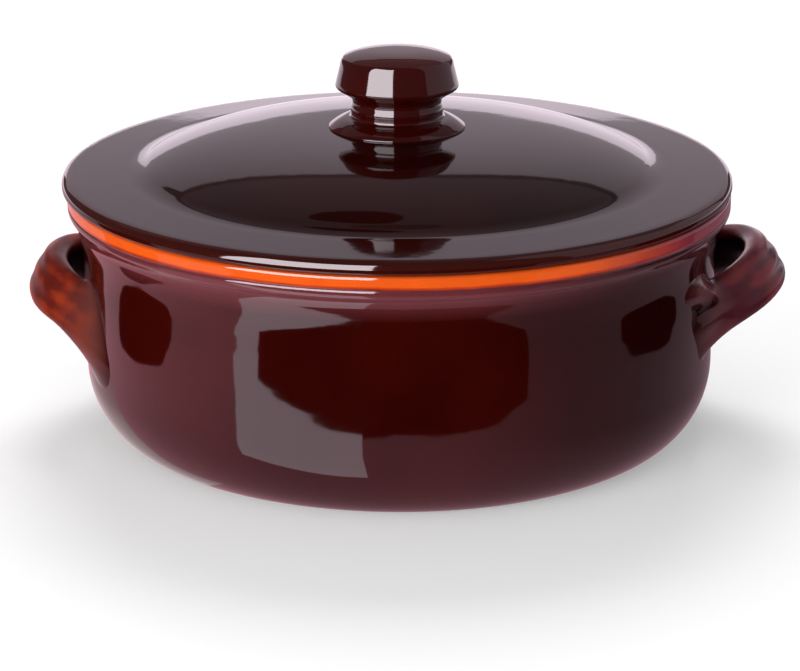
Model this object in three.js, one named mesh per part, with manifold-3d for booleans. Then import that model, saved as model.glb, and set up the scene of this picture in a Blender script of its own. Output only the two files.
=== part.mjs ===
// A glazed terracotta casserole: a thrown round pot with a flat base and an orange lip,
// two pulled strap handles, and a lift-off lid with a wide brim, a low dome and a mushroom knob.
// Millimetres, +Z up. The origin is the middle of the flat base, and +X points at the right handle.
import * as THREE from "three";
import { mergeVertices } from "three/addons/utils/BufferGeometryUtils.js";
import Module from "manifold-3d";

const wasm = await Module();
wasm.setup();

// Driving dimensions
const seatGap = 0.3; // between pieces that rest on or are luted to each other

const pot = {
  lipRadius: 138.8, // outside of the mouth
  height: 103.6, // table to the top of the lip
  wallInset: 6.4, // from the lip's outside in to the wall
  neckInset: 6,
  collarInset: 3.2,
  baseInset: 15.8, // from the wall in to the edge of the flat base
  bellyHeight: 29.6, // the wall rises straight from here
  flareHeight: 20.5, // of the curve from the wall out to the collar
  flareGap: 3.6, // from the top of that curve up to the collar's edge
  baseThickness: 9,
  wall: 7.2,
  innerBend: 26, // of the rounded corner inside
};

const lip = {
  width: 11.4, // from the outside in to the mouth
  bandHeight: 5.4, // the part that carries the orange glaze
  bandWidth: 7.6,
  underHeight: 3.1, // brown part of the collar below the band
  rounding: 1.6,
};

const lid = {
  overhang: 1.2, // beyond the lip
  sideways: -0.9, // the lid sits a little off the pot's axis, within its play
  edgeThickness: 5.5,
  topRounding: 4,
  underRounding: 1.4,
  brimWidth: 25,
  brimFall: 1.4, // over the brim's width
  turnWidth: 11, // of the hollow turn from the brim to the dome
  turnRise: 3,
  domeRise: 13.4, // from the turn to the knob's seat
  shell: 6.4,
  flangePlay: 3.6, // between the flange and the mouth, all round
  flangeThickness: 6,
  flangeDrop: 8,
};

const knob = {
  height: 33.2,
  footRadius: 28.5,
  footOverlap: 0.5, // beyond the flat seat on the lid
  footThickness: 1, // at the ring's edge
  footInner: 20.4,
  footRise: 4.1, // where the ring's top meets the waist
  waistRadius: 19.2,
  waistHeight: 5.4,
  beadRadius: 19.7,
  beadHeight: 8.4,
  neckRadius: 18.4,
  neckHeight: 10.8,
  capRadius: 26.2,
  capHeight: 17, // height of the cap's widest circle
  capRounding: 1.2,
  shoulderRadius: 23.2,
  shoulderHeight: 29.3,
  shoulderRounding: 2.2,
};

// The pulled handles are hand-made and differ a little.
const rightHandle = {
  reach: 22.8, // from the wall out to the strap's middle line
  lift: 70.3, // height of the strap's middle line at the bow
  rootHeight: 55,
  rootSpread: 39,
  width: 23,
  thickness: 12,
  ridge: 0.8,
  rootDepth: 3.5, // how far the strap's ends reach in under the wall's face before they are cut
  rootSwell: 1.5,
  rootDrop: 5, // how far the clay is smeared down the wall below each root
};
const leftHandle = {
  reach: 16.2,
  lift: 64.8,
  rootHeight: 54.5,
  rootSpread: 39,
  width: 23,
  thickness: 12.4,
  ridge: 0.5,
  rootDepth: 3.5,
  rootSwell: 1.5,
  rootDrop: 17,
};

// Fineness of the round shapes
const turnSteps = 64;
const knobSteps = 40;
const strapSteps = 22;

const finishes = {
  glaze: { color: 0x43150f, roughness: 0.12, metalness: 0 },
  lipGlaze: { color: 0xe2571a, roughness: 0.15, metalness: 0 },
  thinGlaze: { color: 0x6b2013, roughness: 0.16, metalness: 0 },
};

function point(radius, height) {
  return new THREE.Vector2(radius, height);
}

function bend(from, pullFrom, pullTo, to, steps) {
  return new THREE.CubicBezierCurve(from, pullFrom, pullTo, to).getPoints(steps);
}

// A corner between two straight stretches, rounded from one point to the other.
function corner(from, tip, to, steps) {
  return new THREE.QuadraticBezierCurve(from, tip, to).getPoints(steps);
}

// The corner at tip, between the places before and after it, rounded from size away on either side.
function rounded(before, tip, after, size, steps) {
  const from = tip.clone().add(before.clone().sub(tip).setLength(size));
  const to = tip.clone().add(after.clone().sub(tip).setLength(size));
  return corner(from, tip, to, steps);
}

function smooth(points, steps) {
  return new THREE.SplineCurve(points).getPoints(steps);
}

// Turns an outline about the vertical axis. The outline runs outside first, from bottom to top.
function turned(outline, steps) {
  const geometry = new THREE.LatheGeometry(outline, steps);
  geometry.rotateX(Math.PI / 2);
  return geometry;
}

function solidFrom(geometry) {
  const bare = geometry.clone();
  bare.deleteAttribute("normal");
  bare.deleteAttribute("uv");
  const merged = mergeVertices(bare);
  const corners = merged.index.array;
  const triVerts = [];
  for (let i = 0; i < corners.length; i += 3) {
    const [a, b, c] = corners.slice(i, i + 3);
    if (a !== b && b !== c && c !== a) triVerts.push(a, b, c);
  }
  return new wasm.Manifold(
    new wasm.Mesh({
      numProp: 3,
      vertProperties: new Float32Array(merged.attributes.position.array),
      triVerts: new Uint32Array(triVerts),
    }),
  );
}

function geometryFrom(solid) {
  const mesh = solid.getMesh();
  const geometry = new THREE.BufferGeometry();
  geometry.setAttribute("position", new THREE.BufferAttribute(mesh.vertProperties, 3));
  geometry.setIndex(new THREE.BufferAttribute(mesh.triVerts, 1));
  geometry.computeVertexNormals();
  return geometry;
}

function piece(name, geometry, finish) {
  const mesh = new THREE.Mesh(geometry, new THREE.MeshStandardMaterial(finish));
  mesh.name = name;
  return mesh;
}

const wallRadius = pot.lipRadius - pot.wallInset;
const mouthRadius = pot.lipRadius - lip.width;
const bandBottom = pot.height - lip.bandHeight;
const collarBottom = bandBottom - lip.underHeight;
const flareTop = collarBottom - pot.flareGap;
const neckHeight = flareTop - pot.flareHeight;

// The wall from the table to the end of the flare under the collar, seen from outside.
function wallOutline() {
  const cornerShares = { rise: 0.47, run: 0.42, lift: 0.11 };
  const flareShares = { rise: 0.5, run: 0.35 };
  const baseRadius = wallRadius - pot.baseInset;
  const neckRadius = pot.lipRadius - pot.neckInset;
  const flareRadius = pot.lipRadius - pot.collarInset;
  return [
    ...bend(
      point(baseRadius, 0),
      point(baseRadius + pot.baseInset * cornerShares.run, pot.bellyHeight * cornerShares.lift),
      point(wallRadius, pot.bellyHeight * cornerShares.rise),
      point(wallRadius, pot.bellyHeight),
      8,
    ),
    ...bend(
      point(neckRadius, neckHeight),
      point(neckRadius, neckHeight + pot.flareHeight * flareShares.rise),
      point(
        flareRadius - (flareRadius - neckRadius) * flareShares.run,
        flareTop - pot.flareHeight * flareShares.run,
      ),
      point(flareRadius, flareTop),
      4,
    ),
  ];
}

function potBody() {
  const innerRadius = wallRadius - pot.wall;
  const innerFloor = innerRadius - pot.innerBend;
  const bandSeat = bandBottom - seatGap;
  const bandInner = pot.lipRadius - lip.bandWidth - seatGap;
  const outline = [
    point(0, 0),
    ...wallOutline(),
    ...corner(
      point(pot.lipRadius - lip.rounding, collarBottom),
      point(pot.lipRadius, collarBottom),
      point(pot.lipRadius, collarBottom + lip.rounding),
      3,
    ),
    point(pot.lipRadius, bandSeat),
    point(bandInner, bandSeat),
    point(bandInner, pot.height),
    ...corner(
      point(mouthRadius + lip.rounding, pot.height),
      point(mouthRadius, pot.height),
      point(mouthRadius, pot.height - lip.rounding),
      3,
    ),
    point(innerRadius, neckHeight),
    ...corner(
      point(innerRadius, pot.baseThickness + pot.innerBend),
      point(innerRadius, pot.baseThickness),
      point(innerFloor, pot.baseThickness),
      7,
    ),
    point(0, pot.baseThickness),
  ];
  return piece("pot_body", turned(outline, turnSteps), finishes.glaze);
}

// The part of the lip that carries the clear orange glaze.
function rimBand() {
  const inner = pot.lipRadius - lip.bandWidth;
  const outline = [
    point(inner, bandBottom),
    point(pot.lipRadius, bandBottom),
    ...corner(
      point(pot.lipRadius, pot.height - lip.rounding),
      point(pot.lipRadius, pot.height),
      point(pot.lipRadius - lip.rounding, pot.height),
      4,
    ),
    point(inner, pot.height),
    point(inner, bandBottom),
  ];
  return piece("rim_band", turned(outline, turnSteps), finishes.lipGlaze);
}

// One ring of the strap's section: the outer face has three ridges, the inner face is plain.
// Places are [outwards from the middle line, along the width]. nearRoot runs from 0 to 1 into the wall.
function strapSection(handle, nearRoot) {
  const ridges = 3;
  const roundShare = 0.16; // of the width, taken by each rounded edge
  const half = handle.thickness / 2 + handle.rootSwell * nearRoot;
  const low = -handle.width / 2 - handle.rootDrop * nearRoot;
  const high = handle.width / 2 + handle.rootSwell * nearRoot;
  const round = handle.width * roundShare;
  const section = [point(-half / 2, low + round / 4), point(0, low)];
  const outerSteps = 12;
  for (let i = 0; i <= outerSteps; i++) {
    const share = i / outerSteps;
    const groove = (1 + Math.cos(share * ridges * 2 * Math.PI)) / 2;
    const edge = Math.sin(Math.PI * Math.min(1 / 2, Math.min(share, 1 - share) + roundShare));
    section.push(
      point(half * edge - handle.ridge * groove, low + round / 2 + (high - low - round) * share),
    );
  }
  section.push(point(0, high), point(-half / 2, high - round / 4));
  section.push(point(-half, high - round), point(-half, low + round));
  return section;
}

// Joins rings of equally many points into one closed skin with flat ends.
function skin(rings) {
  const count = rings[0].length;
  const positions = [];
  const index = [];
  const middles = [rings[0], rings[rings.length - 1]].map((ring) =>
    ring.reduce((sum, p) => sum.add(p), new THREE.Vector3()).divideScalar(count),
  );
  for (const p of [...rings.flat(), ...middles]) positions.push(p.x, p.y, p.z);
  for (let r = 0; r + 1 < rings.length; r++) {
    for (let i = 0; i < count; i++) {
      const a = r * count + i;
      const b = r * count + ((i + 1) % count);
      index.push(a, a + count, b, b, a + count, b + count);
    }
  }
  const last = (rings.length - 1) * count;
  const firstMiddle = rings.length * count;
  for (let i = 0; i < count; i++) {
    const next = (i + 1) % count;
    index.push(firstMiddle, i, next, firstMiddle + 1, last + next, last + i);
  }
  const geometry = new THREE.BufferGeometry();
  geometry.setAttribute("position", new THREE.Float32BufferAttribute(positions, 3));
  geometry.setIndex(index);
  return geometry;
}

// The strap runs from one root on the wall, round the bow, to the other root, rising outwards.
// At each root it stands upright, thickens, and its lower edge is smeared down the wall.
function strap(handle) {
  const pullShare = 3 / 4; // how much of its pull points' reach a symmetric cubic arrives at
  const rootShare = 0.16; // of the strap's run, taken by each root
  const outerEdge = handle.rootSpread + handle.thickness;
  const start = Math.sqrt(wallRadius ** 2 - outerEdge ** 2) - handle.rootDepth;
  const bow = wallRadius + handle.reach;
  const pullOut = start + (bow - start) / pullShare;
  const pullUp = handle.rootHeight + (handle.lift - handle.rootHeight) / pullShare;
  const curve = new THREE.CubicBezierCurve3(
    new THREE.Vector3(start, -handle.rootSpread, handle.rootHeight),
    new THREE.Vector3(pullOut, -handle.rootSpread, pullUp),
    new THREE.Vector3(pullOut, handle.rootSpread, pullUp),
    new THREE.Vector3(start, handle.rootSpread, handle.rootHeight),
  );
  const leanShare = 1.5; // the strap's face leans out more than its plane rises
  const tilt = leanShare * Math.atan2(handle.lift - handle.rootHeight, bow - start);
  const tilted = new THREE.Vector3(-Math.sin(tilt), 0, Math.cos(tilt));
  const upright = new THREE.Vector3(0, 0, 1);
  const rings = [];
  for (let i = 0; i <= strapSteps; i++) {
    const share = (1 - Math.cos((Math.PI * i) / strapSteps)) / 2;
    const nearRoot = Math.max(0, 1 - Math.min(share, 1 - share) / rootShare) ** 2;
    const across = tilted.clone().lerp(upright, nearRoot).normalize();
    const middle = curve.getPoint(share);
    const outward = curve.getTangent(share).cross(across).normalize();
    rings.push(
      strapSection(handle, nearRoot).map((p) =>
        middle.clone().addScaledVector(outward, p.x).addScaledVector(across, p.y),
      ),
    );
  }
  return skin(rings);
}

// What the handle must keep clear of: the pot's outside, grown by the gap.
function wallCutter() {
  const grown = wallOutline().map((p) => point(p.x + seatGap, p.y));
  const outline = [point(0, 0), ...grown, point(0, flareTop)];
  return solidFrom(turned(outline, turnSteps));
}

function handleOn(side, name, handle) {
  const solid = solidFrom(strap(handle)).subtract(wallCutter());
  const mesh = piece(name, geometryFrom(solid), finishes.thinGlaze);
  mesh.rotation.z = side > 0 ? 0 : Math.PI;
  return mesh;
}

const lidRadius = pot.lipRadius + lid.overhang;
const brimInner = lidRadius - lid.brimWidth;
const turnRadius = brimInner - lid.turnWidth;
const seatRadius = knob.footRadius - knob.footOverlap;
const lidUnder = pot.height + seatGap;
const lidEdgeTop = lidUnder + lid.edgeThickness;
const brimTop = lidEdgeTop + lid.brimFall;
const lidSeat = brimTop + lid.turnRise + lid.domeRise;

function lidShell() {
  const domeShares = { outNear: 0.45, fallNear: 0.06, outFar: 0.79, fallFar: 0.4 };
  const turnShare = 0.52; // where the turn's tangents meet, between brim and dome
  const run = turnRadius - seatRadius;
  const turnHeight = brimTop + lid.turnRise;
  const flangeOuter = mouthRadius - lid.flangePlay;
  const flangeInner = flangeOuter - lid.flangeThickness;
  const underTurn = turnRadius - lid.shell;
  const ceiling = lidSeat - lid.shell;
  const brimUnder = brimTop - lid.shell;
  const dome = bend(
    point(seatRadius, lidSeat),
    point(seatRadius + run * domeShares.outNear, lidSeat - lid.domeRise * domeShares.fallNear),
    point(seatRadius + run * domeShares.outFar, lidSeat - lid.domeRise * domeShares.fallFar),
    point(turnRadius, turnHeight),
    9,
  );
  const underRun = underTurn - seatRadius;
  const underDome = bend(
    point(seatRadius, ceiling),
    point(seatRadius + underRun * domeShares.outNear, ceiling - lid.domeRise * domeShares.fallNear),
    point(seatRadius + underRun * domeShares.outFar, ceiling - lid.domeRise * domeShares.fallFar),
    point(underTurn, turnHeight - lid.shell),
    6,
  );
  const turn = corner(
    point(turnRadius, turnHeight),
    point(turnRadius + lid.turnWidth * turnShare, brimTop),
    point(brimInner, brimTop),
    4,
  );
  const outline = [
    point(0, ceiling),
    ...underDome,
    point(flangeInner, brimUnder),
    point(flangeInner, lidUnder - lid.flangeDrop),
    point(flangeOuter, lidUnder - lid.flangeDrop),
    point(flangeOuter, lidUnder),
    ...corner(
      point(lidRadius - lid.underRounding, lidUnder),
      point(lidRadius, lidUnder),
      point(lidRadius, lidUnder + lid.underRounding),
      2,
    ),
    ...corner(
      point(lidRadius, lidEdgeTop - lid.topRounding),
      point(lidRadius, lidEdgeTop),
      point(lidRadius - lid.topRounding, lidEdgeTop),
      4,
    ),
    ...turn.reverse(),
    ...dome.reverse().slice(1),
    point(0, lidSeat),
  ];
  return piece("lid", turned(outline, turnSteps), finishes.glaze);
}

function knobPiece() {
  const foot = lidSeat + seatGap;
  const crestShares = { out: 0.35, up: 0.75 };
  const underShares = { outNear: 0.05, upNear: 0.35, outFar: 0.6, upFar: 0.62 };
  const crownShares = { out: 0.8, up: 0.66, top: 0.62 };
  const top = foot + knob.height;
  const neck = point(knob.neckRadius, foot + knob.neckHeight);
  const cap = point(knob.capRadius, foot + knob.capHeight);
  const shoulder = point(knob.shoulderRadius, foot + knob.shoulderHeight);
  const footRun = knob.footRadius - knob.footInner;
  const capRun = cap.x - neck.x;
  const capRise = cap.y - neck.y;
  const crown = top - shoulder.y;
  const underCap = bend(
    neck,
    point(neck.x + capRun * underShares.outNear, neck.y + capRise * underShares.upNear),
    point(neck.x + capRun * underShares.outFar, neck.y + capRise * underShares.upFar),
    cap,
    6,
  );
  const crowning = bend(
    shoulder,
    point(shoulder.x * crownShares.out, shoulder.y + crown * crownShares.up),
    point(shoulder.x * crownShares.top, top),
    point(0, top),
    6,
  );
  const outline = [
    point(0, foot),
    ...corner(
      point(knob.footRadius - knob.footThickness / 2, foot),
      point(knob.footRadius, foot),
      point(knob.footRadius, foot + knob.footThickness / 2),
      2,
    ),
    ...corner(
      point(knob.footRadius - knob.footThickness / 2, foot + knob.footThickness),
      point(knob.footRadius - footRun * crestShares.out, foot + knob.footRise * crestShares.up),
      point(knob.footInner, foot + knob.footRise),
      3,
    ),
    ...smooth(
      [
        point(knob.waistRadius, foot + knob.waistHeight),
        point(knob.beadRadius, foot + knob.beadHeight),
        neck,
      ],
      6,
    ),
    ...underCap.slice(1, -1),
    ...rounded(underCap[underCap.length - 2], cap, shoulder, knob.capRounding, 2),
    ...rounded(cap, shoulder, crowning[1], knob.shoulderRounding, 3),
    ...crowning.slice(1),
  ];
  return piece("knob", turned(outline, knobSteps), finishes.glaze);
}

function lidWithKnob() {
  const group = new THREE.Group();
  group.position.x = lid.sideways;
  group.add(lidShell(), knobPiece());
  return group;
}

const casserole = new THREE.Group();
casserole.add(
  potBody(),
  rimBand(),
  handleOn(1, "right_handle", rightHandle),
  handleOn(-1, "left_handle", leftHandle),
  lidWithKnob(),
);

export default casserole;
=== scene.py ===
import math

import bmesh
import bpy
from mathutils import Matrix, Vector, noise
from mathutils.geometry import interpolate_bezier


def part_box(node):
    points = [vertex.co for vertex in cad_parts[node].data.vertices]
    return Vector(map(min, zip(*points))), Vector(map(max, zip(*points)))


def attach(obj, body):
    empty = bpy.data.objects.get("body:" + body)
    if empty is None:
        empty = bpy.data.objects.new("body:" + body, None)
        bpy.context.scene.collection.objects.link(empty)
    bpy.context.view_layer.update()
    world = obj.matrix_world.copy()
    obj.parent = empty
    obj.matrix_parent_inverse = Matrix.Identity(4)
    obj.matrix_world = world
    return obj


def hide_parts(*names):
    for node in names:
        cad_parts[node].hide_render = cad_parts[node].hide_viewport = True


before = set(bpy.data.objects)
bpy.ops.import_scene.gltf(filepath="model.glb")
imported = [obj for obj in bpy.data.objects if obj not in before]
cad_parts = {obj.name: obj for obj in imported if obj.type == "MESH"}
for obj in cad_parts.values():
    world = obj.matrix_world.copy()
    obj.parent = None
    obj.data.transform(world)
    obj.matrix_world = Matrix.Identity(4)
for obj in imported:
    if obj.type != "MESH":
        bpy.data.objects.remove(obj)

scene = bpy.context.scene
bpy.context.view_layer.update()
fullTurn = 2 * math.pi
mergeDistance = 1e-6
roundSegments = 5

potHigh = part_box("pot_body")[1]
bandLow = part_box("rim_band")[0]
lidLow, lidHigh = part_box("lid")
knobLow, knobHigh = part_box("knob")
lidCentre = (lidLow.x + lidHigh.x) / 2  # the lid sits a little to the left in its play


def linkMesh(bm, name):
    mesh = bpy.data.meshes.new(name)
    bm.to_mesh(mesh)
    bm.free()
    made = bpy.data.objects.new(name, mesh)
    scene.collection.objects.link(made)
    return made


def linkPiece(bm, name, body, nodes):
    # The piece stands for its CAD nodes and moves with their body.
    piece = linkMesh(bm, name)
    piece.data.shade_smooth()
    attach(piece, body)
    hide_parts(*nodes)
    return piece


def bend(start, pullStart, pullEnd, end, count):
    # A cubic between two outline places, each (radius, height). The pulls kept for each piece are shares of its run
    # and rise that place the two inner knots.
    knots = [Vector((place[0], 0, place[1])) for place in (start, pullStart, pullEnd, end)]
    return [(place.x, place.z) for place in interpolate_bezier(*knots, count)]


def turn(outline, rounds, spacing, steps, centre=0.0):
    # An outline of (radius, height) places, rounded at the places named in rounds, spun round the upright axis.
    bm = bmesh.new()
    places = [bm.verts.new((radius, 0, height)) for radius, height in outline]
    for first, second in zip(places, places[1:]):
        bm.edges.new((first, second))
    if outline[0][0] > 0:
        bm.edges.new((places[-1], places[0]))  # a ring's outline closes on itself
    for offset, picked in rounds.items():
        corners = [places[i] for i in picked]
        bmesh.ops.bevel(bm, geom=corners, offset=offset, offset_type="OFFSET", segments=roundSegments,
                        profile=0.5, affect="VERTICES", material=-1)
    for edge in list(bm.edges):
        cuts = int(edge.calc_length() / spacing)
        if cuts > 0:
            bmesh.ops.subdivide_edges(bm, edges=[edge], cuts=cuts)
    bmesh.ops.spin(bm, geom=bm.verts[:] + bm.edges[:], cent=(0, 0, 0), axis=(0, 0, 1),
                   angle=fullTurn, steps=steps, use_merge=True, use_duplicate=False)
    bmesh.ops.remove_doubles(bm, verts=bm.verts, dist=mergeDistance)
    bmesh.ops.recalc_face_normals(bm, faces=bm.faces)
    bmesh.ops.translate(bm, verts=bm.verts, vec=(centre, 0, 0))
    return bm


throwing = {"fineTurn": 1.7, "broadTurn": 1.1, "broadShift": 7.3}


def shareOfNoise(place):
    return 0.5 + 0.5 * noise.noise(place)


def ringCut(rings, outward, height):
    # Depth of the shallow throwing rings and of a faint broad unevenness at a place on the piece.
    fineTurn, broadTurn = throwing["fineTurn"], throwing["broadTurn"]
    fineHeight, broadHeight = height / rings["pitch"], height / rings["broadPitch"] + throwing["broadShift"]
    fine = Vector((outward.x * fineTurn, outward.y * fineTurn, fineHeight))
    broad = Vector((outward.x * broadTurn, outward.y * broadTurn, broadHeight))
    return rings["depth"] * shareOfNoise(fine) + rings["broadDepth"] * shareOfNoise(broad)


def throwRings(bm, rings, centre=0.0):
    # All cut inwards, so that the piece keeps its size, and fading out towards the axis.
    for v in bm.verts:
        flat = Vector((v.co.x - centre, v.co.y, 0))
        radius = flat.length
        if radius > rings["from"]:
            grown = min(1, radius / rings["from"] - 1)
            v.co -= v.normal * ringCut(rings, flat / radius, v.co.z) * grown * grown


pot = {
    "wallInset": 0.0064, "neckInset": 0.006, "collarInset": 0.0032,
    "baseInset": 0.0158, "bellyHeight": 0.0296, "flareHeight": 0.0205, "flareGap": 0.0036,
    "floorThickness": 0.009, "wallThickness": 0.0072, "insideBend": 0.026,
    "lipWidth": 0.0114, "bandWidth": 0.0076, "underBand": 0.0031,
    "footRise": 0.0009, "footRing": 0.102, "footBlend": 0.0968,
    "cornerPulls": (0.42, 0.11, 0.47), "flarePulls": (0.5, 0.35), "insidePull": 3,
    "cornerCount": 18, "flareCount": 9, "insideCount": 10,
    "collarRound": 0.0013, "mouthRound": 0.0014, "footRound": 0.0006,
    "spacing": 0.0026, "steps": 256,
    "rings": {"from": 0.02, "pitch": 0.0052, "depth": 0.00007, "broadPitch": 0.03, "broadDepth": 0.00028},
}
lipRadius = potHigh.x
potHeight = potHigh.z
wallRadius = lipRadius - pot["wallInset"]
innerRadius = wallRadius - pot["wallThickness"]
bandBottom = bandLow.z
collarBottom = bandBottom - pot["underBand"]
flareTop = collarBottom - pot["flareGap"]
neckHeight = flareTop - pot["flareHeight"]


def lowerCorner():
    base = wallRadius - pot["baseInset"]
    belly = pot["bellyHeight"]
    outPull, lowPull, highPull = pot["cornerPulls"]
    return bend((base, 0), (base + pot["baseInset"] * outPull, belly * lowPull),
                (wallRadius, belly * highPull), (wallRadius, belly), pot["cornerCount"])


def wallAt(height):
    # Radius of the pot's outer wall below the flare.
    outline = lowerCorner()
    for (radius, low), (nextRadius, high) in zip(outline, outline[1:]):
        if low <= height < high:
            return radius + (nextRadius - radius) * (height - low) / (high - low)
    return wallRadius


def potOutline():
    neck = lipRadius - pot["neckInset"]
    flare = lipRadius - pot["collarInset"]
    mouth = lipRadius - pot["lipWidth"]
    bandInner = lipRadius - pot["bandWidth"]
    rise = pot["flareHeight"]
    floor = pot["floorThickness"]
    hollow = pot["insideBend"]
    lowPull, highPull = pot["flarePulls"]
    corner = lowerCorner()
    flaring = bend((neck, neckHeight), (neck, neckHeight + rise * lowPull),
                   (flare - (flare - neck) * highPull, flareTop - rise * highPull), (flare, flareTop),
                   pot["flareCount"])
    bottom = [(0, pot["footRise"]), (pot["footBlend"], pot["footRise"]), (pot["footRing"], 0)]
    collar = [(lipRadius, collarBottom), (lipRadius, bandBottom), (bandInner, bandBottom), (bandInner, potHeight)]
    inside = [(mouth, potHeight), (innerRadius, neckHeight)]
    insideCorner = bend((innerRadius, floor + hollow), (innerRadius, floor + hollow / pot["insidePull"]),
                        (innerRadius - hollow * 2 / pot["insidePull"], floor), (innerRadius - hollow, floor),
                        pot["insideCount"])
    outline = bottom + corner + flaring + collar + inside + insideCorner + [(0, floor)]
    first = len(bottom) + len(corner) + len(flaring)
    mouthCorner = first + len(collar)
    return outline, {pot["collarRound"]: [first], pot["mouthRound"]: [mouthCorner], pot["footRound"]: [2, 3]}


def makePot():
    outline, rounds = potOutline()
    bm = turn(outline, rounds, pot["spacing"], pot["steps"])
    throwRings(bm, pot["rings"])
    return linkPiece(bm, "pot_shell", "pot", ["pot_body"])


lip = {"rounding": 0.0017, "overlap": 0.0007, "spacing": 0.0012, "steps": 256,
       "rings": {"from": 0.02, "pitch": 0.004, "depth": 0.00005, "broadPitch": 0.02, "broadDepth": 0.0002}}


def makeLip():
    inner = lipRadius - pot["bandWidth"]
    outline = [(inner - lip["overlap"], bandBottom - lip["overlap"]), (lipRadius, bandBottom - lip["overlap"]),
               (lipRadius, potHeight), (inner - lip["overlap"], potHeight)]
    bm = turn(outline, {lip["rounding"]: [2]}, lip["spacing"], lip["steps"])
    throwRings(bm, lip["rings"])
    return linkPiece(bm, "lip_band", "pot", ["rim_band"])


lid = {
    "edgeThickness": 0.0055, "brimWidth": 0.025, "brimFall": 0.0014,
    "turnWidth": 0.011, "turnRise": 0.003, "domeRise": 0.0134, "shell": 0.0064,
    "flangePlay": 0.0036, "flangeThickness": 0.006, "flangeDrop": 0.008,
    "edgeRound": 0.0034, "underRound": 0.0014, "flangeRound": 0.002, "hollowRound": 0.0016, "seatRadius": 0.028,
    "domePulls": (0.45, 0.06, 0.79, 0.4), "turnPulls": (0.34, 0.3, 0.18),
    "domeCount": 22, "ceilingCount": 10, "turnCount": 9,
    "spacing": 0.0026, "steps": 256,
    "rings": {"from": 0.014, "pitch": 0.006, "depth": 0.00004, "broadPitch": 0.04, "broadDepth": 0.00016},
}


def domeFrom(start, end, rise, count):
    run = end[0] - start[0]
    nearRun, nearFall, farRun, farFall = lid["domePulls"]
    return bend(start, (start[0] + run * nearRun, start[1] - rise * nearFall),
                (start[0] + run * farRun, start[1] - rise * farFall), end, count)


def lidOutline():
    radius = (lidHigh.x - lidLow.x) / 2
    under = lidLow.z + lid["flangeDrop"]
    edgeTop = under + lid["edgeThickness"]
    brimTop = edgeTop + lid["brimFall"]
    brimInner = radius - lid["brimWidth"]
    turnRadius = brimInner - lid["turnWidth"]
    turnHeight = brimTop + lid["turnRise"]
    seat = turnHeight + lid["domeRise"]
    seatRadius = lid["seatRadius"]
    flangeOuter = lipRadius - pot["lipWidth"] - lid["flangePlay"]
    flangeInner = flangeOuter - lid["flangeThickness"]
    flangeBottom = under - lid["flangeDrop"]
    shell = lid["shell"]
    outerPull, innerPull, risePull = lid["turnPulls"]
    ceiling = domeFrom((seatRadius, seat - shell), (turnRadius - shell, turnHeight - shell), lid["domeRise"],
                       lid["ceilingCount"])
    below = [(flangeInner, brimTop - shell), (flangeInner, flangeBottom), (flangeOuter, flangeBottom),
             (flangeOuter, under), (radius, under), (radius, edgeTop)]
    brim = bend((brimInner, brimTop), (brimInner - lid["turnWidth"] * outerPull, brimTop),
                (turnRadius + lid["turnWidth"] * innerPull, brimTop + lid["turnRise"] * risePull),
                (turnRadius, turnHeight), lid["turnCount"])
    dome = domeFrom((seatRadius, seat), (turnRadius, turnHeight), lid["domeRise"], lid["domeCount"])
    outline = [(0, seat - shell)] + ceiling + below + brim + dome[::-1][1:] + [(0, seat)]
    first = 1 + len(ceiling)
    rounds = {
        lid["hollowRound"]: [first + 3, first],
        lid["flangeRound"]: [first + 1, first + 2],
        lid["underRound"]: [first + 4],
        lid["edgeRound"]: [first + 5],
    }
    return outline, rounds


def makeLid():
    outline, rounds = lidOutline()
    bm = turn(outline, rounds, lid["spacing"], lid["steps"], lidCentre)
    throwRings(bm, lid["rings"], lidCentre)
    return linkPiece(bm, "lid_shell", "cover", ["lid"])


knob = {
    "footRadius": 0.0285, "footThickness": 0.0002, "footInner": 0.0204, "footRise": 0.0041, "waistRadius": 0.0192,
    "waistHeight": 0.0054, "beadRadius": 0.0195, "beadHeight": 0.0076, "neckRadius": 0.0187, "neckHeight": 0.0113,
    "capRadius": 0.0261, "capHeight": 0.017, "capRound": 0.0012, "shoulderRadius": 0.0231, "shoulderHeight": 0.0292,
    "shoulderRound": 0.0022, "crownDrop": 0.0008, "footRound": 0.0002, "sink": 0.0009,
    "crestPulls": (0.3, 0.55, 0.35, 0.97), "filletPulls": (0.5, 0.6), "beadPull": 0.4, "neckPull": 0.45,
    "capPulls": (0.05, 0.35, 0.6, 0.62), "crownPulls": (0.8, 0.66, 0.62),
    "crestCount": 26, "turnCount": 5, "capCount": 10, "crownCount": 16,
    "spacing": 0.0012, "steps": 160,
    "rings": {"from": 0.008, "pitch": 0.004, "depth": 0.00004, "broadPitch": 0.02, "broadDepth": 0.00014},
}


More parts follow.
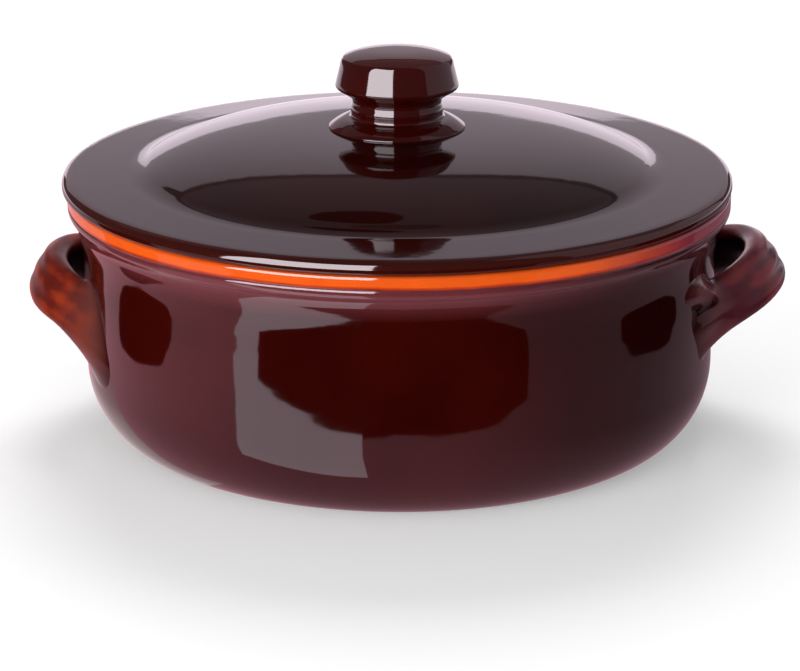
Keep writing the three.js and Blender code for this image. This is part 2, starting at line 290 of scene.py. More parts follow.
def knobOutline():
    foot = knobLow.z
    top = knobHigh.z - knob["crownDrop"]
    inner = (knob["footInner"], foot + knob["footRise"])
    neck = (knob["neckRadius"], foot + knob["neckHeight"])
    cap = (knob["capRadius"], foot + knob["capHeight"])
    shoulder = (knob["shoulderRadius"], foot + knob["shoulderHeight"])
    waist = (knob["waistRadius"], foot + knob["waistHeight"])
    bead = (knob["beadRadius"], foot + knob["beadHeight"])
    footRun = knob["footRadius"] - inner[0]
    fillet = waist[1] - inner[1]
    belly = bead[1] - waist[1]
    run = cap[0] - neck[0]
    rise = cap[1] - neck[1]
    crown = top - shoulder[1]
    count = knob["turnCount"]
    outerRun, outerRise, innerRun, innerRise = knob["crestPulls"]
    filletRun, filletRise = knob["filletPulls"]
    beadPull = belly * knob["beadPull"]
    neckPull = (neck[1] - bead[1]) * knob["neckPull"]
    lowRun, lowRise, highRun, highRise = knob["capPulls"]
    sideShare, sideRise, topShare = knob["crownPulls"]
    start = [(0, foot - knob["sink"]), (knob["footRadius"], foot - knob["sink"])]
    crest = bend((knob["footRadius"], foot + knob["footThickness"]),
                 (knob["footRadius"] - footRun * outerRun, foot + knob["footRise"] * outerRise),
                 (inner[0] + footRun * innerRun, foot + knob["footRise"] * innerRise), inner, knob["crestCount"])
    flare = bend(inner, (inner[0] - fillet * filletRun, inner[1]),
                 (waist[0], waist[1] - fillet * filletRise), waist, count)
    beading = bend(waist, (waist[0], waist[1] + beadPull), (bead[0], bead[1] - beadPull), bead, count)
    necking = bend(bead, (bead[0], bead[1] + neckPull), (neck[0], neck[1] - neckPull), neck, count)
    underCap = bend(neck, (neck[0] + run * lowRun, neck[1] + rise * lowRise),
                    (neck[0] + run * highRun, neck[1] + rise * highRise), cap, knob["capCount"])
    crowning = bend(shoulder, (shoulder[0] * sideShare, shoulder[1] + crown * sideRise),
                    (shoulder[0] * topShare, top), (0, top), knob["crownCount"])
    outline = start + crest + flare[1:] + beading[1:] + necking[1:] + underCap[1:]
    capCorner = len(outline) - 1
    outline += [shoulder] + crowning[1:]
    return outline, {knob["footRound"]: [2], knob["capRound"]: [capCorner], knob["shoulderRound"]: [capCorner + 1]}


def makeKnob():
    outline, rounds = knobOutline()
    bm = turn(outline, rounds, knob["spacing"], knob["steps"], lidCentre)
    throwRings(bm, knob["rings"], lidCentre)
    return linkPiece(bm, "knob_turned", "cover", ["knob"])


strap = {
    "width": 0.023, "ridges": 3, "rootSpread": 0.039, "leanShare": 1.5,
    "rootSwell": 0.0015, "rootShare": 0.16, "edgeShare": 0.2, "boxiness": 2.7, "grooveFace": 1.2, "grooveFade": 0.5,
    "steps": 34, "around": 56, "footSteps": 10, "firstShare": 0.01, "shareStep": 0.002,
    "sunk": 0.0001, "buried": 0.0022, "smoothings": 16, "smoothFrom": 0.15, "smoothReach": 2.8,
    "unevenness": 0.00015, "unevenScale": 90,
}
# The clay pressed over the wall at a root, by thumb, palm and smear, in shares of the section's width.
pressed = {"faceShift": 0.3, "thumbWidth": 0.18, "palmWidth": 0.16, "smearWidth": 0.2,
           "creaseWidth": 0.05, "creaseShift": 0.02, "creaseCut": 0.9, "creaseGrowth": 1.8}
bowReach = 0.75  # how far the middle of the bow gets towards its two pulls
rightStrap = {"reach": 0.0219, "lift": 0.0703, "rootHeight": 0.055, "rootDepth": 0.0035, "rootDrop": 0.004,
              "thickness": 0.012, "ridge": 0.0007, "footClear": 0.005, "footRadius": 0.005,
              "thumbReach": 0.022, "thumbPlace": 0.82, "palmReach": 0.006, "palmPlace": 0.4, "level": 0.6,
              "smear": 0.003, "smearPlump": 0.1, "plump": 1.15, "crease": 1.0, "side": 1}
leftStrap = {"reach": 0.0156, "lift": 0.0648, "rootHeight": 0.0545, "rootDepth": 0.0035, "rootDrop": 0.004,
             "thickness": 0.0124, "ridge": 0.0004, "footClear": 0.0068, "footRadius": 0.005,
             "thumbReach": 0.002, "thumbPlace": 0.7, "palmReach": 0.002, "palmPlace": 0.3, "level": 0,
             "smear": 0.011, "smearPlump": 0.3, "plump": 0, "crease": 0, "side": -1}


def strapSection(handle, nearRoot):
    # One section, round from its lower edge: each place's distance outwards and along the width, its groove, its
    # share of the width and its side, which is 1 on the outer face and -1 on the inner one.
    half = handle["thickness"] / 2 + strap["rootSwell"] * nearRoot
    low = -strap["width"] / 2 - handle["rootDrop"] * nearRoot
    high = strap["width"] / 2 + strap["rootSwell"] * nearRoot
    places = []
    for i in range(strap["around"]):
        angle = fullTurn * i / strap["around"] - math.pi / 2
        cosine, sine = math.cos(angle), math.sin(angle)
        boxy = (abs(cosine) ** strap["boxiness"] + abs(sine) ** strap["boxiness"]) ** (-1 / strap["boxiness"])
        share = (sine * boxy + 1) / 2
        outward = -cosine * boxy
        rim = min(1, min(share, 1 - share) / strap["edgeShare"])
        face = max(0, min(1, outward * strap["grooveFace"]))
        groove = (0.5 + 0.5 * math.cos(share * strap["ridges"] * fullTurn)) * rim * face
        out = half * outward - handle["ridge"] * groove * (1 - strap["grooveFade"] * nearRoot)
        places.append((out, low + (high - low) * share, groove * (1 - nearRoot), share, outward))
    return places


def footReach(handle, share, outward):
    # How far the clay is pressed out over the wall at a place of the section, how plump it stands there (0 is a
    # hollow, 0.5 a straight wedge, 1 a rounded pad), how deep its crease is, and by what share it runs level.
    face = min(1, max(0, outward + pressed["faceShift"]))
    thumb = math.exp(-(((share - handle["thumbPlace"]) / pressed["thumbWidth"]) ** 4)) * face
    palm = math.exp(-(((share - handle["palmPlace"]) / pressed["palmWidth"]) ** 2)) * face
    smear = max(0, 1 - share / pressed["smearWidth"])
    creasePlace = (handle["thumbPlace"] + handle["palmPlace"]) / 2 + pressed["creaseShift"]
    crease = math.exp(-(((share - creasePlace) / pressed["creaseWidth"]) ** 2)) * face * handle["crease"]
    reach = (handle["footRadius"] + thumb * handle["thumbReach"] + palm * handle["palmReach"]
             + smear * handle["smear"])
    pad = max(thumb, palm)
    plump = max(pad * handle["plump"] * (1 - pressed["creaseCut"] * crease), smear * handle["smearPlump"])
    return reach, plump, crease, pad * handle["level"]


def strapStation(handle, share):
    # The strap's middle, its run, its two cross directions and how near the root it is, at a share of its length.
    outer = strap["rootSpread"] + handle["thickness"]
    start = math.sqrt(wallRadius ** 2 - outer ** 2) - handle["rootDepth"]
    bow = wallRadius + handle["reach"]
    spread = strap["rootSpread"]
    pullOut = start + (bow - start) / bowReach
    pullUp = handle["rootHeight"] + (handle["lift"] - handle["rootHeight"]) / bowReach
    near, nearPull = Vector((start, -spread, handle["rootHeight"])), Vector((pullOut, -spread, pullUp))
    farPull, far = Vector((pullOut, spread, pullUp)), Vector((start, spread, handle["rootHeight"]))
    left = 1 - share
    middle = (near * left ** 3 + nearPull * 3 * share * left ** 2 + farPull * 3 * share ** 2 * left
              + far * share ** 3)
    tangent = ((nearPull - near) * left ** 2 + (farPull - nearPull) * 2 * share * left
               + (far - farPull) * share ** 2).normalized()
    lean = math.atan2(handle["lift"] - handle["rootHeight"], bow - start) * strap["leanShare"]
    nearRoot = max(0, 1 - share / strap["rootShare"]) ** 2
    across = Vector((-math.sin(lean), 0, math.cos(lean))).lerp(Vector((0, 0, 1)), nearRoot).normalized()
    return middle, tangent, tangent.cross(across).normalized(), across, nearRoot


def footRings(handle, share):
    # From inside the wall up to the section at that share, meeting wall and strap smoothly.
    middle, tangent, outward, across, nearRoot = strapStation(handle, share)
    ring = []
    for out, along, groove, width, side in strapSection(handle, nearRoot):
        top = middle + outward * out + across * along
        flat = Vector((tangent.x, tangent.y))
        place = Vector((top.x, top.y))
        reach = place.dot(flat) / flat.dot(flat)
        inside = reach - math.sqrt(reach ** 2 - (place.dot(place) - wallRadius ** 2) / flat.dot(flat))
        ring.append((top, top - tangent * inside, groove, width, side, Vector((out, along))))
    rings = []
    for step in range(strap["footSteps"], -1, -1):
        angle = math.pi / 2 * step / strap["footSteps"]
        places = []
        for top, onWall, groove, width, side, off in ring:
            reach, plump, crease, level = footReach(handle, width, side)
            spread = reach * (plump * math.sin(angle) + (1 - plump) * (1 - math.cos(angle)))
            stand = plump * math.cos(angle) + (1 - plump) * (1 - math.sin(angle))
            direction = Vector((off.x / handle["thickness"], off.y / strap["width"] * (1 - level))).normalized()
            turned = math.atan2(onWall.y, onWall.x) - direction.x * spread / wallRadius
            flatward = Vector((math.cos(turned), math.sin(turned), 0))
            height = onWall.z + direction.y * spread
            cut = ringCut(pot["rings"], flatward * handle["side"], height) + strap["sunk"]
            foot = flatward * (wallAt(height) - cut * math.sin(angle))
            foot.z = height
            # The last mark is the crease weight, which the glaze paints as pooled glaze and painted shade.
            places.append((foot + (top - onWall) * stand, groove * math.cos(angle), -side,
                           crease * min(1, pressed["creaseGrowth"] * math.sin(angle))))
        if not rings:
            sunk = 1 - strap["buried"] / wallRadius
            rings.append([(Vector((place.x * sunk, place.y * sunk, place.z)), *marks)
                          for place, *marks in places])
        rings.append(places)
    return rings


def strapRings(handle):
    # Half a strap, from its foot in the wall to the middle of the bow.
    share = strap["firstShare"]
    while math.hypot(*strapStation(handle, share)[0].xy) < wallRadius + handle["footClear"]:
        share += strap["shareStep"]
    rings = footRings(handle, share)
    for step in range(1, strap["steps"] + 1):
        station = strapStation(handle, share + (0.5 - share) * step / strap["steps"])
        middle, tangent, outward, across, nearRoot = station
        rings.append([(middle + outward * out + across * along, groove, -side, 0)
                      for out, along, groove, width, side in strapSection(handle, nearRoot)])
    return rings


def makeStrap(name, node, handle):
    # One section is drawn as a face and pulled along half the strap, ring by ring. The other half is its mirror.
    bm = bmesh.new()
    grooveLayer = bm.verts.layers.float.new("groove")
    rootLayer = bm.verts.layers.float.new("fromRoot")
    innerLayer = bm.verts.layers.float.new("inner")
    creasePoolAndShadeLayer = bm.verts.layers.float.new("crease")
    placeLayer = bm.verts.layers.int.new("place")
    rings = strapRings(handle)
    face = bm.faces.new([bm.verts.new(place) for place, *marks in rings[0]])
    for i, v in enumerate(face.verts):
        v[placeLayer] = i
    for step, ring in enumerate(rings):
        if step > 0:
            pulled = bmesh.ops.extrude_face_region(bm, geom=[face])["geom"]
            if step > 1 and face.is_valid:
                bmesh.ops.delete(bm, geom=[face], context="FACES_ONLY")
            face = next(g for g in pulled if isinstance(g, bmesh.types.BMFace))
        for v in face.verts:
            v.co, v[grooveLayer], v[innerLayer], v[creasePoolAndShadeLayer] = ring[v[placeLayer]]
            v[rootLayer] = step / (len(rings) - 1)
    for v in face.verts:
        v.co.y = 0
    bmesh.ops.delete(bm, geom=[face], context="FACES_ONLY")
    joint = strap["footSteps"] / (len(rings) - 1)
    nearJoint = [v for v in bm.verts if joint * strap["smoothFrom"] < v[rootLayer] < joint * strap["smoothReach"]]
    before = [v.co.copy() for v in nearJoint]
    for smoothing in range(strap["smoothings"]):
        bmesh.ops.smooth_vert(bm, verts=nearJoint, factor=0.5, use_axis_x=True, use_axis_y=True, use_axis_z=True)
    for v, place in zip(nearJoint, before):
        away = v[rootLayer] / joint - 1  # 0 at the joint, where the smoothing counts in full
        away = away / (strap["smoothReach"] - 1) if away > 0 else away / (strap["smoothFrom"] - 1)
        v.co = place.lerp(v.co, (1 - away ** 2) ** 2)
    bmesh.ops.mirror(bm, geom=bm.verts[:] + bm.edges[:] + bm.faces[:], axis="Y", merge_dist=mergeDistance)
    bmesh.ops.recalc_face_normals(bm, faces=bm.faces)
    if handle["side"] < 0:
        bmesh.ops.rotate(bm, verts=bm.verts, cent=(0, 0, 0), matrix=Matrix.Rotation(math.pi, 3, "Z"))
    bm.normal_update()
    for v in bm.verts:
        v.co -= v.normal * strap["unevenness"] * (1 + noise.noise(v.co * strap["unevenScale"]))
    piece = linkPiece(bm, name, "pot", [node])
    rounding = piece.modifiers.new("rounding", "SUBSURF")
    rounding.levels = 1
    rounding.render_levels = 1
    return piece


def startMaterial(name):
    material = bpy.data.materials.new(name)
    material.use_nodes = True
    nodes = material.node_tree.nodes
    return material, nodes, material.node_tree.links, nodes["Principled BSDF"]


def addNoise(nodes, links, source, scale, detail, stretch=(1, 1, 1)):
    mapping = nodes.new("ShaderNodeMapping")
    mapping.inputs["Scale"].default_value = stretch
    pattern = nodes.new("ShaderNodeTexNoise")
    pattern.inputs["Scale"].default_value = scale
    pattern.inputs["Detail"].default_value = detail
    links.new(source, mapping.inputs["Vector"])
    links.new(mapping.outputs["Vector"], pattern.inputs["Vector"])
    return pattern.outputs["Fac"]


def addRamp(nodes, links, source, stops):
    stops = list(stops)
    ramp = nodes.new("ShaderNodeValToRGB")
    ramp.color_ramp.interpolation = "EASE"
    stopList = ramp.color_ramp.elements
    while len(stopList) < len(stops):
        stopList.new(0.5)
    for stop, (place, colour) in zip(stopList, stops):
        stop.position = place
        stop.color = (*colour, 1)
    links.new(source, ramp.inputs["Fac"])
    return ramp.outputs["Color"]


def addMix(nodes, links, factor, first, second):
    mix = nodes.new("ShaderNodeMix")
    mix.data_type = "RGBA"
    for socket, value in ((mix.inputs[0], factor), (mix.inputs[6], first), (mix.inputs[7], second)):
        if isinstance(value, bpy.types.NodeSocket):
            links.new(value, socket)
        elif isinstance(value, tuple):
            socket.default_value = (*value, 1)
        else:
            socket.default_value = value
    return mix.outputs[2]


def addMath(nodes, links, operation, first, second, clamp=False):
    step = nodes.new("ShaderNodeMath")
    step.operation = operation
    step.use_clamp = clamp
    for socket, value in ((step.inputs[0], first), (step.inputs[1], second)):
        if isinstance(value, bpy.types.NodeSocket):
            links.new(value, socket)
        else:
            socket.default_value = value
    return step.outputs[0]


def addRise(nodes, links, value, start, slope):
    # 0 up to the start, then rising by the slope to 1.
    return addMath(nodes, links, "MULTIPLY", addMath(nodes, links, "SUBTRACT", value, start), slope, True)


def addScaledNoise(nodes, links, places, scale, detail, share):
    return addMath(nodes, links, "MULTIPLY", addNoise(nodes, links, places, scale, detail), share)


def addBump(nodes, links, height, distance, strength, under=None):
    bump = nodes.new("ShaderNodeBump")
    bump.inputs["Distance"].default_value = distance
    bump.inputs["Strength"].default_value = strength
    links.new(height, bump.inputs["Height"])
    if under is not None:
        links.new(under, bump.inputs["Normal"])
    return bump.outputs["Normal"]


black = (0, 0, 0)
white = (1, 1, 1)
glaze = {
    "roughness": 0.055, "ior": 1.52, "shade": (0.004, 0.0006, 0.0004),
    "driftNoise": (16, 3), "driftPlaces": (0.35, 0.7), "speckNoise": (900, 1), "speckPlaces": (0.66, 0.74),
    "speckShare": 0.35, "peelNoise": (75, 2), "peel": (0.00035, 0.12),
    "lid": {"deep": (0.010, 0.0009, 0.0007), "warm": (0.017, 0.0014, 0.0010)},
    "lidEdge": (0.036, 0.003, 0.001), "lidEdgeWidth": 0.0025, "lidEdgeSlope": 500,
    "knob": {"deep": (0.030, 0.0012, 0.0006), "warm": (0.048, 0.0022, 0.0010)},
    "pot": {"deep": (0.025, 0.0009, 0.0003), "warm": (0.038, 0.0016, 0.0007)},
    "rightShadeShare": 0.55, "rightShadeFrom": 0.03, "rightShadeSlope": 16, "potWander": (30, 3, 0.0008),
    "collar": (0.13, 0.026, 0.031), "collarDepth": 0.011, "collarShadeShare": 0.3,
}
bareClay = {
    "light": (0.52, 0.20, 0.10), "dark": (0.36, 0.12, 0.06), "places": (0.3, 0.7), "roughness": 0.85,
    "height": 0.0022, "inset": 0.0004, "slope": 2500, "noise": (420, 4), "grit": (0.0004, 0.6),
}
# The "right" colour is painted shade for the band's right side.
lipGlaze = {
    "light": (0.93, 0.125, 0.010), "deep": (0.50, 0.040, 0.009), "right": (0.22, 0.028, 0.048),
    "wander": (45, 3, 0.0012), "creep": 0.0009, "creepSlope": 480, "creepPlaces": (0, 0.3, 0.75),
    "mottle": (60, 4, 0.4), "lipRightShadeFrom": 0.07, "lipRightShadeSlope": 22, "peelNoise": (90, 2), "peel": (0.0003, 0.15),
}
# The right strap's mauve shades carry painted reflection besides the glaze's own brown.
strapGlaze = {
    "right": {"light": (0.15, 0.014, 0.017), "dark": (0.06, 0.004, 0.010), "root": (0.065, 0.018, 0.020),
              "roughness": 0.26, "rootRoughness": 0.12, "scale": 60, "ior": 1.4},
    "left": {"light": (0.29, 0.024, 0.0015), "dark": (0.11, 0.006, 0.0015), "root": (0.12, 0.035, 0.030),
             "roughness": 0.36, "rootRoughness": 0.24, "scale": 75, "ior": 1.24},
    "detail": 4, "stretch": (1, 0.6, 1.3), "pooling": 0.16, "poolPlaces": (0.4, 0.68),
    "rootPlaces": (0.04, 0.34), "meetingPlaces": (0.03, 0.14), "roughFrom": 0.4, "creasePoolAndShadeGain": 1.2,
    "insideShadePlaces": (0.6, 0.9), "peelNoise": (110, 3), "peel": (0.0004, 0.2),
}


def evenly(value):
    return (value, value, value)


def glossy(shader):
    shader.inputs["Roughness"].default_value = glaze["roughness"]
    shader.inputs["IOR"].default_value = glaze["ior"]


def addFromAxis(nodes, links, places):
    # Distance of a place from the upright axis.
    flat = nodes.new("ShaderNodeVectorMath")
    flat.operation = "MULTIPLY"
    flat.inputs[1].default_value = (1, 1, 0)
    links.new(places, flat.inputs[0])
    radius = nodes.new("ShaderNodeVectorMath")
    radius.operation = "LENGTH"
    links.new(flat.outputs[0], radius.inputs[0])
    return radius.outputs["Value"]


def makeBrownGlaze(name, shades, isPot=False, isLid=False):
    # Deep brown glaze with a slow drift of colour and small iron specks. The pot's is darkened on its right by
    # painted shade, runs thin and redder under the lip, where painted shade also darkens the right, and leaves the
    # foot bare.
    # The lid's is thin at its edge.
    material, nodes, links, shader = startMaterial(name)
    places = nodes.new("ShaderNodeTexCoord").outputs["Object"]
    drift = addRamp(nodes, links, addNoise(nodes, links, places, *glaze["driftNoise"]),
                    zip(glaze["driftPlaces"], (shades["deep"], shades["warm"])))
    specks = addRamp(nodes, links, addNoise(nodes, links, places, *glaze["speckNoise"]),
                     zip(glaze["speckPlaces"], (black, white)))
    speckled = addMath(nodes, links, "MULTIPLY", specks, glaze["speckShare"])
    colour = addMix(nodes, links, speckled, drift, shades["deep"])
    glossy(shader)
    peel = addBump(nodes, links, addNoise(nodes, links, places, *glaze["peelNoise"]), *glaze["peel"])
    fromAxis = addFromAxis(nodes, links, places)
    if isLid:
        edge = addRise(nodes, links, fromAxis, lipRadius - glaze["lidEdgeWidth"], glaze["lidEdgeSlope"])
        colour = addMix(nodes, links, edge, colour, glaze["lidEdge"])
    if isPot:
        height = nodes.new("ShaderNodeSeparateXYZ")
        links.new(places, height.inputs["Vector"])
        # Painted shade: the glaze darkens towards the pot's right, away from the light.
        across = addRise(nodes, links, height.outputs["X"], glaze["rightShadeFrom"], glaze["rightShadeSlope"])
        potRightShade = tuple(part * glaze["rightShadeShare"] for part in shades["deep"])
        colour = addMix(nodes, links, across, colour, potRightShade)
        wander = addScaledNoise(nodes, links, places, *glaze["potWander"])
        level = addMath(nodes, links, "ADD", height.outputs["Z"], wander)
        thin = addRise(nodes, links, level, collarBottom - glaze["collarDepth"], 1 / glaze["collarDepth"])
        # Painted shade: the thin band under the lip darkens towards the right as well.
        collarRightShade = tuple(part * glaze["collarShadeShare"] for part in glaze["collar"])
        collar = addMix(nodes, links, across, glaze["collar"], collarRightShade)
        colour = addMix(nodes, links, thin, colour, collar)
        reach = addMath(nodes, links, "ADD", fromAxis, wander)
        bareRadius = wallRadius - pot["baseInset"] - bareClay["inset"]
        footLine = addRise(nodes, links, level, bareClay["height"], bareClay["slope"])
        sideLine = addRise(nodes, links, reach, bareRadius, bareClay["slope"])
        glazed = addMath(nodes, links, "MAXIMUM", footLine, sideLine)
        grain = addNoise(nodes, links, places, *bareClay["noise"])
        clay = addRamp(nodes, links, grain, zip(bareClay["places"], (bareClay["dark"], bareClay["light"])))
        colour = addMix(nodes, links, glazed, clay, colour)
        rough = addRamp(nodes, links, glazed, [(0, evenly(bareClay["roughness"])), (1, evenly(glaze["roughness"]))])
        links.new(rough, shader.inputs["Roughness"])
        grit = addMath(nodes, links, "MULTIPLY", grain, addMath(nodes, links, "SUBTRACT", 1, glazed))
        peel = addBump(nodes, links, grit, *bareClay["grit"], peel)
    links.new(colour, shader.inputs["Base Color"])
    links.new(peel, shader.inputs["Normal"])
    return material


def makeLipGlaze():
    # Clear orange glaze over slip, with the brown glaze creeping over its lower edge, and painted shade darkening
    # its right side, away from the light.
    material, nodes, links, shader = startMaterial("lipGlaze")
    places = nodes.new("ShaderNodeTexCoord").outputs["Object"]
    height = nodes.new("ShaderNodeSeparateXYZ")
    links.new(places, height.inputs["Vector"])
    wander = addScaledNoise(nodes, links, places, *lipGlaze["wander"])
    level = addMath(nodes, links, "SUBTRACT", height.outputs["Z"], wander)
    share = addRise(nodes, links, level, bandBottom - lipGlaze["creep"], lipGlaze["creepSlope"])
    fade = addRamp(nodes, links, share,
                   zip(lipGlaze["creepPlaces"], (glaze["pot"]["warm"], lipGlaze["deep"], lipGlaze["light"])))
    mottle = addScaledNoise(nodes, links, places, *lipGlaze["mottle"])
    colour = addMix(nodes, links, mottle, fade, lipGlaze["deep"])
    # Painted shade: the band is darkened towards its right, away from the light.
    across = addRise(nodes, links, height.outputs["X"], lipGlaze["lipRightShadeFrom"], lipGlaze["lipRightShadeSlope"])
    colour = addMix(nodes, links, across, colour, lipGlaze["right"])
    glossy(shader)
    peel = addBump(nodes, links, addNoise(nodes, links, places, *lipGlaze["peelNoise"]), *lipGlaze["peel"])
    links.new(colour, shader.inputs["Base Color"])
    links.new(peel, shader.inputs["Normal"])
    return material


def addAttribute(nodes, name):
    attribute = nodes.new("ShaderNodeAttribute")
    attribute.attribute_name = name
    return attribute.outputs["Fac"]


def makeStrapGlaze(name, shades):
    # Thin mottled glaze, darker where it pools in the grooves, like the pot's at the root with painted sheen mixed
    # in there, darker in the crease under the pad by pooled glaze and painted shade, and nearly black on its inner
    # face by painted shade.
    material, nodes, links, shader = startMaterial(name)
    places = nodes.new("ShaderNodeTexCoord").outputs["Object"]
    mottle = addNoise(nodes, links, places, shades["scale"], strapGlaze["detail"], strapGlaze["stretch"])
    pooled = addMath(nodes, links, "MULTIPLY_ADD", addAttribute(nodes, "groove"), strapGlaze["pooling"])
    links.new(mottle, pooled.node.inputs[2])
    colour = addRamp(nodes, links, pooled, zip(strapGlaze["poolPlaces"], (shades["light"], shades["dark"])))
    fromRoot = addAttribute(nodes, "fromRoot")
    # Near the root the strap fades to a mauve that holds the meeting of the two glazes and painted sheen.
    root = addRamp(nodes, links, fromRoot, zip(strapGlaze["rootPlaces"], (black, white)))
    colour = addMix(nodes, links, root, shades["root"], colour)
    meeting = addRamp(nodes, links, fromRoot, zip(strapGlaze["meetingPlaces"], (black, white)))
    colour = addMix(nodes, links, meeting, glaze["pot"]["deep"], colour)
    # The crease under the pad is darkened partly as pooled glaze and partly as painted shade.
    crease = addMath(nodes, links, "MULTIPLY", addAttribute(nodes, "crease"), strapGlaze["creasePoolAndShadeGain"], True)
    colour = addMix(nodes, links, crease, colour, glaze["shade"])
    # Painted shade: the strap's inner face is made nearly black.
    inside = addRamp(nodes, links, addAttribute(nodes, "inner"), zip(strapGlaze["insideShadePlaces"], (black, white)))
    colour = addMix(nodes, links, inside, colour, glaze["shade"])
    glossy(shader)
    shader.inputs["IOR"].default_value = shades["ior"]
    steps = [evenly(part) for part in (glaze["roughness"], shades["rootRoughness"], shades["roughness"])]
    rough = addRamp(nodes, links, fromRoot, zip((*strapGlaze["meetingPlaces"], strapGlaze["roughFrom"]), steps))
    links.new(rough, shader.inputs["Roughness"])
    peel = addBump(nodes, links, addNoise(nodes, links, places, *strapGlaze["peelNoise"]), *strapGlaze["peel"])
    links.new(colour, shader.inputs["Base Color"])
    links.new(peel, shader.inputs["Normal"])
    return material


def dress(piece, material):
    piece.data.materials.clear()
    piece.data.materials.append(material)


studio = {
    "floorSize": 9.0, "floorColour": (0.86, 0.86, 0.86), "floorRoughness": 0.13, "floorGloss": 0.5,
    "floorGlow": 0.32, "worldStrength": 0.5,
    "lamps": {"key": {"azimuth": -36, "elevation": 16, "distance": 1.6, "size": 0.9, "power": 11},
              "backLight": {"azimuth": 180, "elevation": 50, "distance": 2.0, "size": 1.0, "power": 26}},
    "eyeDistance": 1.3, "eyeElevation": 17.2, "aimHeight": 0.055,
    "pictureWidth": 800, "pixelsPerUnit": 3064, "axisColumn": 399.2, "axisRow": 291.2, "middleRow": 335.5,
    "sensor": 36.0, "viewEnd": 30,
}


def makeFloor():
    bm = bmesh.new()
    bmesh.ops.create_grid(bm, x_segments=1, y_segments=1, size=studio["floorSize"])
    floor = linkMesh(bm, "floor")
    material, nodes, links, shader = startMaterial("paleFloor")
    shader.inputs["Base Color"].default_value = (*studio["floorColour"], 1)
    shader.inputs["Roughness"].default_value = studio["floorRoughness"]
    shader.inputs["Specular IOR Level"].default_value = studio["floorGloss"]
    shader.inputs["Emission Color"].default_value = (*white, 1)
    shader.inputs["Emission Strength"].default_value = studio["floorGlow"]
    dress(floor, material)


# Each card is seen only in reflections. A panel stands round the dish, by its azimuths and elevations in degrees,
# and a flat card lies just above the floor, by its corners.
cards = {
    "tint": (1.0, 0.86, 0.965), "panelCuts": (16, 12), "roundCuts": 48, "cornerCuts": 6,
    "dome": {"distance": 3.4, "strength": 0.1, "cuts": 4},
    "panels": {
        "softbox": {"azimuths": (-58, -8), "elevations": (-10, 52), "strength": 13.0, "distance": 3.0,
                    "tint": (1.0, 0.93, 0.99)},
        "backdropLow": {"azimuths": (160, 202), "elevations": (-12, 11), "strength": 1.5, "distance": 3.2},
        "backdropHigh": {"azimuths": (143, 211), "elevations": (11, 34), "strength": 0.58, "distance": 3.2},
        "ceiling": {"azimuths": (120, 240), "elevations": (36, 75), "strength": 0.19, "distance": 3.1},
        "ceilingGap": {"azimuths": (178, 209), "elevations": (58, 72), "strength": 0.02, "distance": 3.0,
                       "isRound": True},
        "rightWall": {"azimuths": (58, 138), "elevations": (-10, 70), "strength": 0.5, "distance": 3.2},
    },
    "flats": {
        "lowDark": {"places": [(-3, -3), (3, -3), (3, 3), (-3, 3)], "strength": 0.004, "height": 0.0003},
        "lowSheen": {"places": [(-0.159, -0.181), (-0.101, -0.204), (0, -0.226), (0.103, -0.208), (0.148, -0.214),
                                (0.51, -0.557), (0.9, -0.557), (0.9, -0.16), (0.281, -0.112), (0.262, -0.09),
                                (0.262, -0.01), (0.285, 0.025), (0.8, 0.33), (0.8, 0.6), (-0.8, 0.6),
                                (-0.8, 0.3), (-0.33, 0.055), (-0.278, 0.034), (-0.25, 0.014), (-0.237, -0.03),
                                (-0.242, -0.08), (-0.285, -0.1), (-0.9, -0.12), (-0.9, -0.44), (-0.59, -0.44)],
                     "corner": 0.008, "strength": 1.0, "height": 0.0006,
                     "sides": [(0.12, (0.50, 0.47, 0.50)), (0.27, (1.03, 0.47, 0.57)),
                               (0.5, (0.64, 0.34, 0.41)), (0.68, (0.29, 0.185, 0.22)),
                               (0.95, (0.19, 0.16, 0.175))]},
        "frontGlow": {"places": [(-0.094, -0.134), (-0.016, -0.146), (-0.036, -0.222), (-0.178, -0.2175),
                                 (-0.2, -0.238), (-0.212, -0.247), (-0.245, -0.235), (-0.228, -0.205)],
                      "strength": 2.3, "height": 0.0009},
        "sideGlow": {"places": [(-0.1, -0.04), (-0.072, -0.1), (-0.112, -0.068), (-0.15, -0.038), (-0.2, 0.0),
                                (-0.21, 0.06), (-0.12, 0.035)], "strength": 0.9, "height": 0.0012,
                     "sides": [(0.29, (1.0, 0.47, 0.56)), (0.335, (0.9, 0.62, 0.67)),
                               (0.37, (1.0, 0.8, 0.83))]},
        "backGlow": {"places": [(-2.9, 0.6), (2.9, 0.6), (2.9, 2.9), (-2.9, 2.9)], "strength": 1.3,
                     "height": 0.0006},
    },
    "sidesShift": 0.5,
}


def aimAt(azimuth, elevation):
    # The direction from the dish, with the azimuth counted from the camera's side to the right.
    turned, lift = math.radians(azimuth), math.radians(elevation)
    return Vector((math.sin(turned) * math.cos(lift), -math.cos(turned) * math.cos(lift), math.sin(lift)))


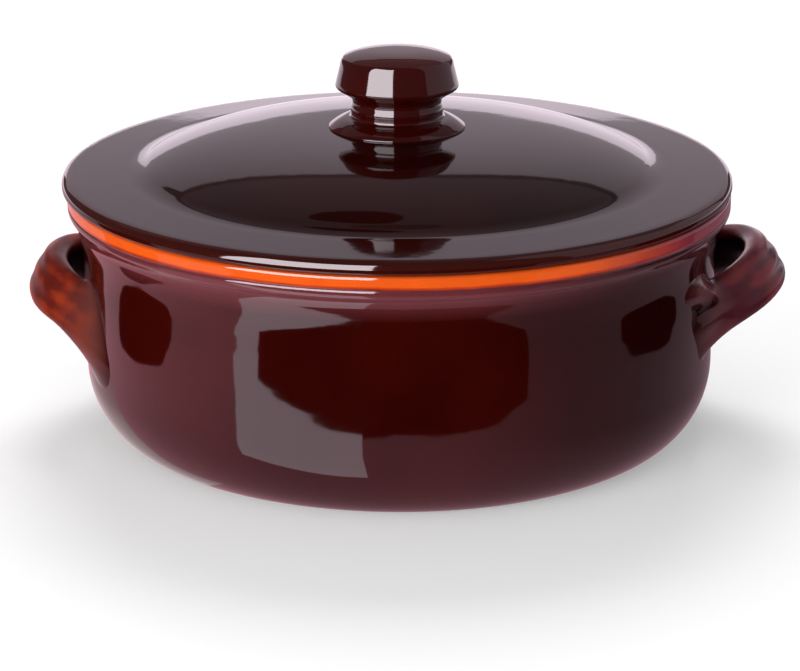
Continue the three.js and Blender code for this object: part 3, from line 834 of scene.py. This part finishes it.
def addCard(bm, name, card):
    # A sheet that glows and shows only in reflections, in one tint or in a run of tints from left to right.
    sheet = linkMesh(bm, name)
    material = bpy.data.materials.new(name)
    material.use_nodes = True
    nodes, links = material.node_tree.nodes, material.node_tree.links
    nodes.clear()
    light = nodes.new("ShaderNodeEmission")
    light.inputs["Color"].default_value = (*card.get("tint", cards["tint"]), 1)
    light.inputs["Strength"].default_value = card["strength"]
    if "sides" in card:
        sideways = nodes.new("ShaderNodeSeparateXYZ")
        links.new(nodes.new("ShaderNodeTexCoord").outputs["Object"], sideways.inputs["Vector"])
        across = addMath(nodes, links, "ADD", sideways.outputs["X"], cards["sidesShift"], True)
        links.new(addRamp(nodes, links, across, card["sides"]), light.inputs["Color"])
    out = nodes.new("ShaderNodeOutputMaterial")
    links.new(light.outputs[0], out.inputs["Surface"])
    dress(sheet, material)
    sheet.visible_camera = False
    sheet.visible_diffuse = False
    sheet.visible_shadow = False
    sheet.visible_transmission = False


def addPanel(name, panel):
    # A flat grid or disc bent round the dish, so that a grid's edges are straight in azimuth and elevation.
    bm = bmesh.new()
    if panel.get("isRound"):
        bmesh.ops.create_circle(bm, cap_ends=True, cap_tris=True, segments=cards["roundCuts"], radius=1)
    else:
        across, up = cards["panelCuts"]
        bmesh.ops.create_grid(bm, x_segments=across, y_segments=up, size=1)
    (left, right), (low, high) = panel["azimuths"], panel["elevations"]
    for v in bm.verts:
        azimuth = left + (right - left) * (v.co.x + 1) / 2
        v.co = aimAt(azimuth, low + (high - low) * (v.co.y + 1) / 2) * panel["distance"]
    addCard(bm, name, panel)


def addFlat(name, flat):
    bm = bmesh.new()
    bm.faces.new([bm.verts.new((*place, flat["height"])) for place in flat["places"]])
    if "corner" in flat:
        bmesh.ops.bevel(bm, geom=bm.verts[:], offset=flat["corner"], offset_type="OFFSET",
                        segments=cards["cornerCuts"], profile=0.5, affect="VERTICES", material=-1)
    addCard(bm, name, flat)


def addLamp(name, place):
    light = bpy.data.lights.new(name, "AREA")
    light.size = place["size"]
    light.energy = place["power"]
    lamp = bpy.data.objects.new(name, light)
    away = aimAt(place["azimuth"], place["elevation"])
    lamp.location = away * place["distance"]
    lamp.rotation_euler = away.to_track_quat("Z", "Y").to_euler()
    lamp.visible_glossy = False
    lamp.visible_camera = False
    scene.collection.objects.link(lamp)


def makeLight():
    world = bpy.data.worlds.new("studio")
    world.use_nodes = True
    sky = world.node_tree.nodes["Background"]
    sky.inputs["Color"].default_value = (*white, 1)
    sky.inputs["Strength"].default_value = studio["worldStrength"]
    scene.world = world
    for name, place in studio["lamps"].items():
        addLamp(name, place)
    dome = bmesh.new()
    bmesh.ops.create_icosphere(dome, subdivisions=cards["dome"]["cuts"], radius=cards["dome"]["distance"])
    addCard(dome, "dome", cards["dome"])
    for name, panel in cards["panels"].items():
        addPanel(name, panel)
    for name, flat in cards["flats"].items():
        addFlat(name, flat)


def makeCamera():
    camera = bpy.data.cameras.new("camera")
    camera.sensor_width = studio["sensor"]
    camera.lens = studio["pixelsPerUnit"] / studio["pictureWidth"] * studio["sensor"]
    camera.shift_x = (studio["pictureWidth"] / 2 - studio["axisColumn"]) / studio["pictureWidth"]
    camera.shift_y = (studio["axisRow"] - studio["middleRow"]) / studio["pictureWidth"]
    camera.clip_end = studio["viewEnd"]
    eye = bpy.data.objects.new("camera", camera)
    angle = math.radians(studio["eyeElevation"])
    target = Vector((0, 0, studio["aimHeight"]))
    back = Vector((0, -math.cos(angle), math.sin(angle)))
    eye.location = target + back * studio["eyeDistance"]
    eye.rotation_euler = back.to_track_quat("Z", "Y").to_euler()
    scene.collection.objects.link(eye)
    scene.camera = eye


dress(makePot(), makeBrownGlaze("potGlaze", glaze["pot"], isPot=True))
print("pot turned")
dress(makeLip(), makeLipGlaze())
print("lip turned")
dress(makeLid(), makeBrownGlaze("lidGlaze", glaze["lid"], isLid=True))
dress(makeKnob(), makeBrownGlaze("knobGlaze", glaze["knob"]))
print("lid and knob turned")
dress(makeStrap("strap_right", "right_handle", rightStrap),
      makeStrapGlaze("strapGlazeRight", strapGlaze["right"]))
dress(makeStrap("strap_left", "left_handle", leftStrap),
      makeStrapGlaze("strapGlazeLeft", strapGlaze["left"]))
print("handles pulled")
makeFloor()
makeLight()
makeCamera()
scene.view_settings.view_transform = "Standard"
print("studio set")
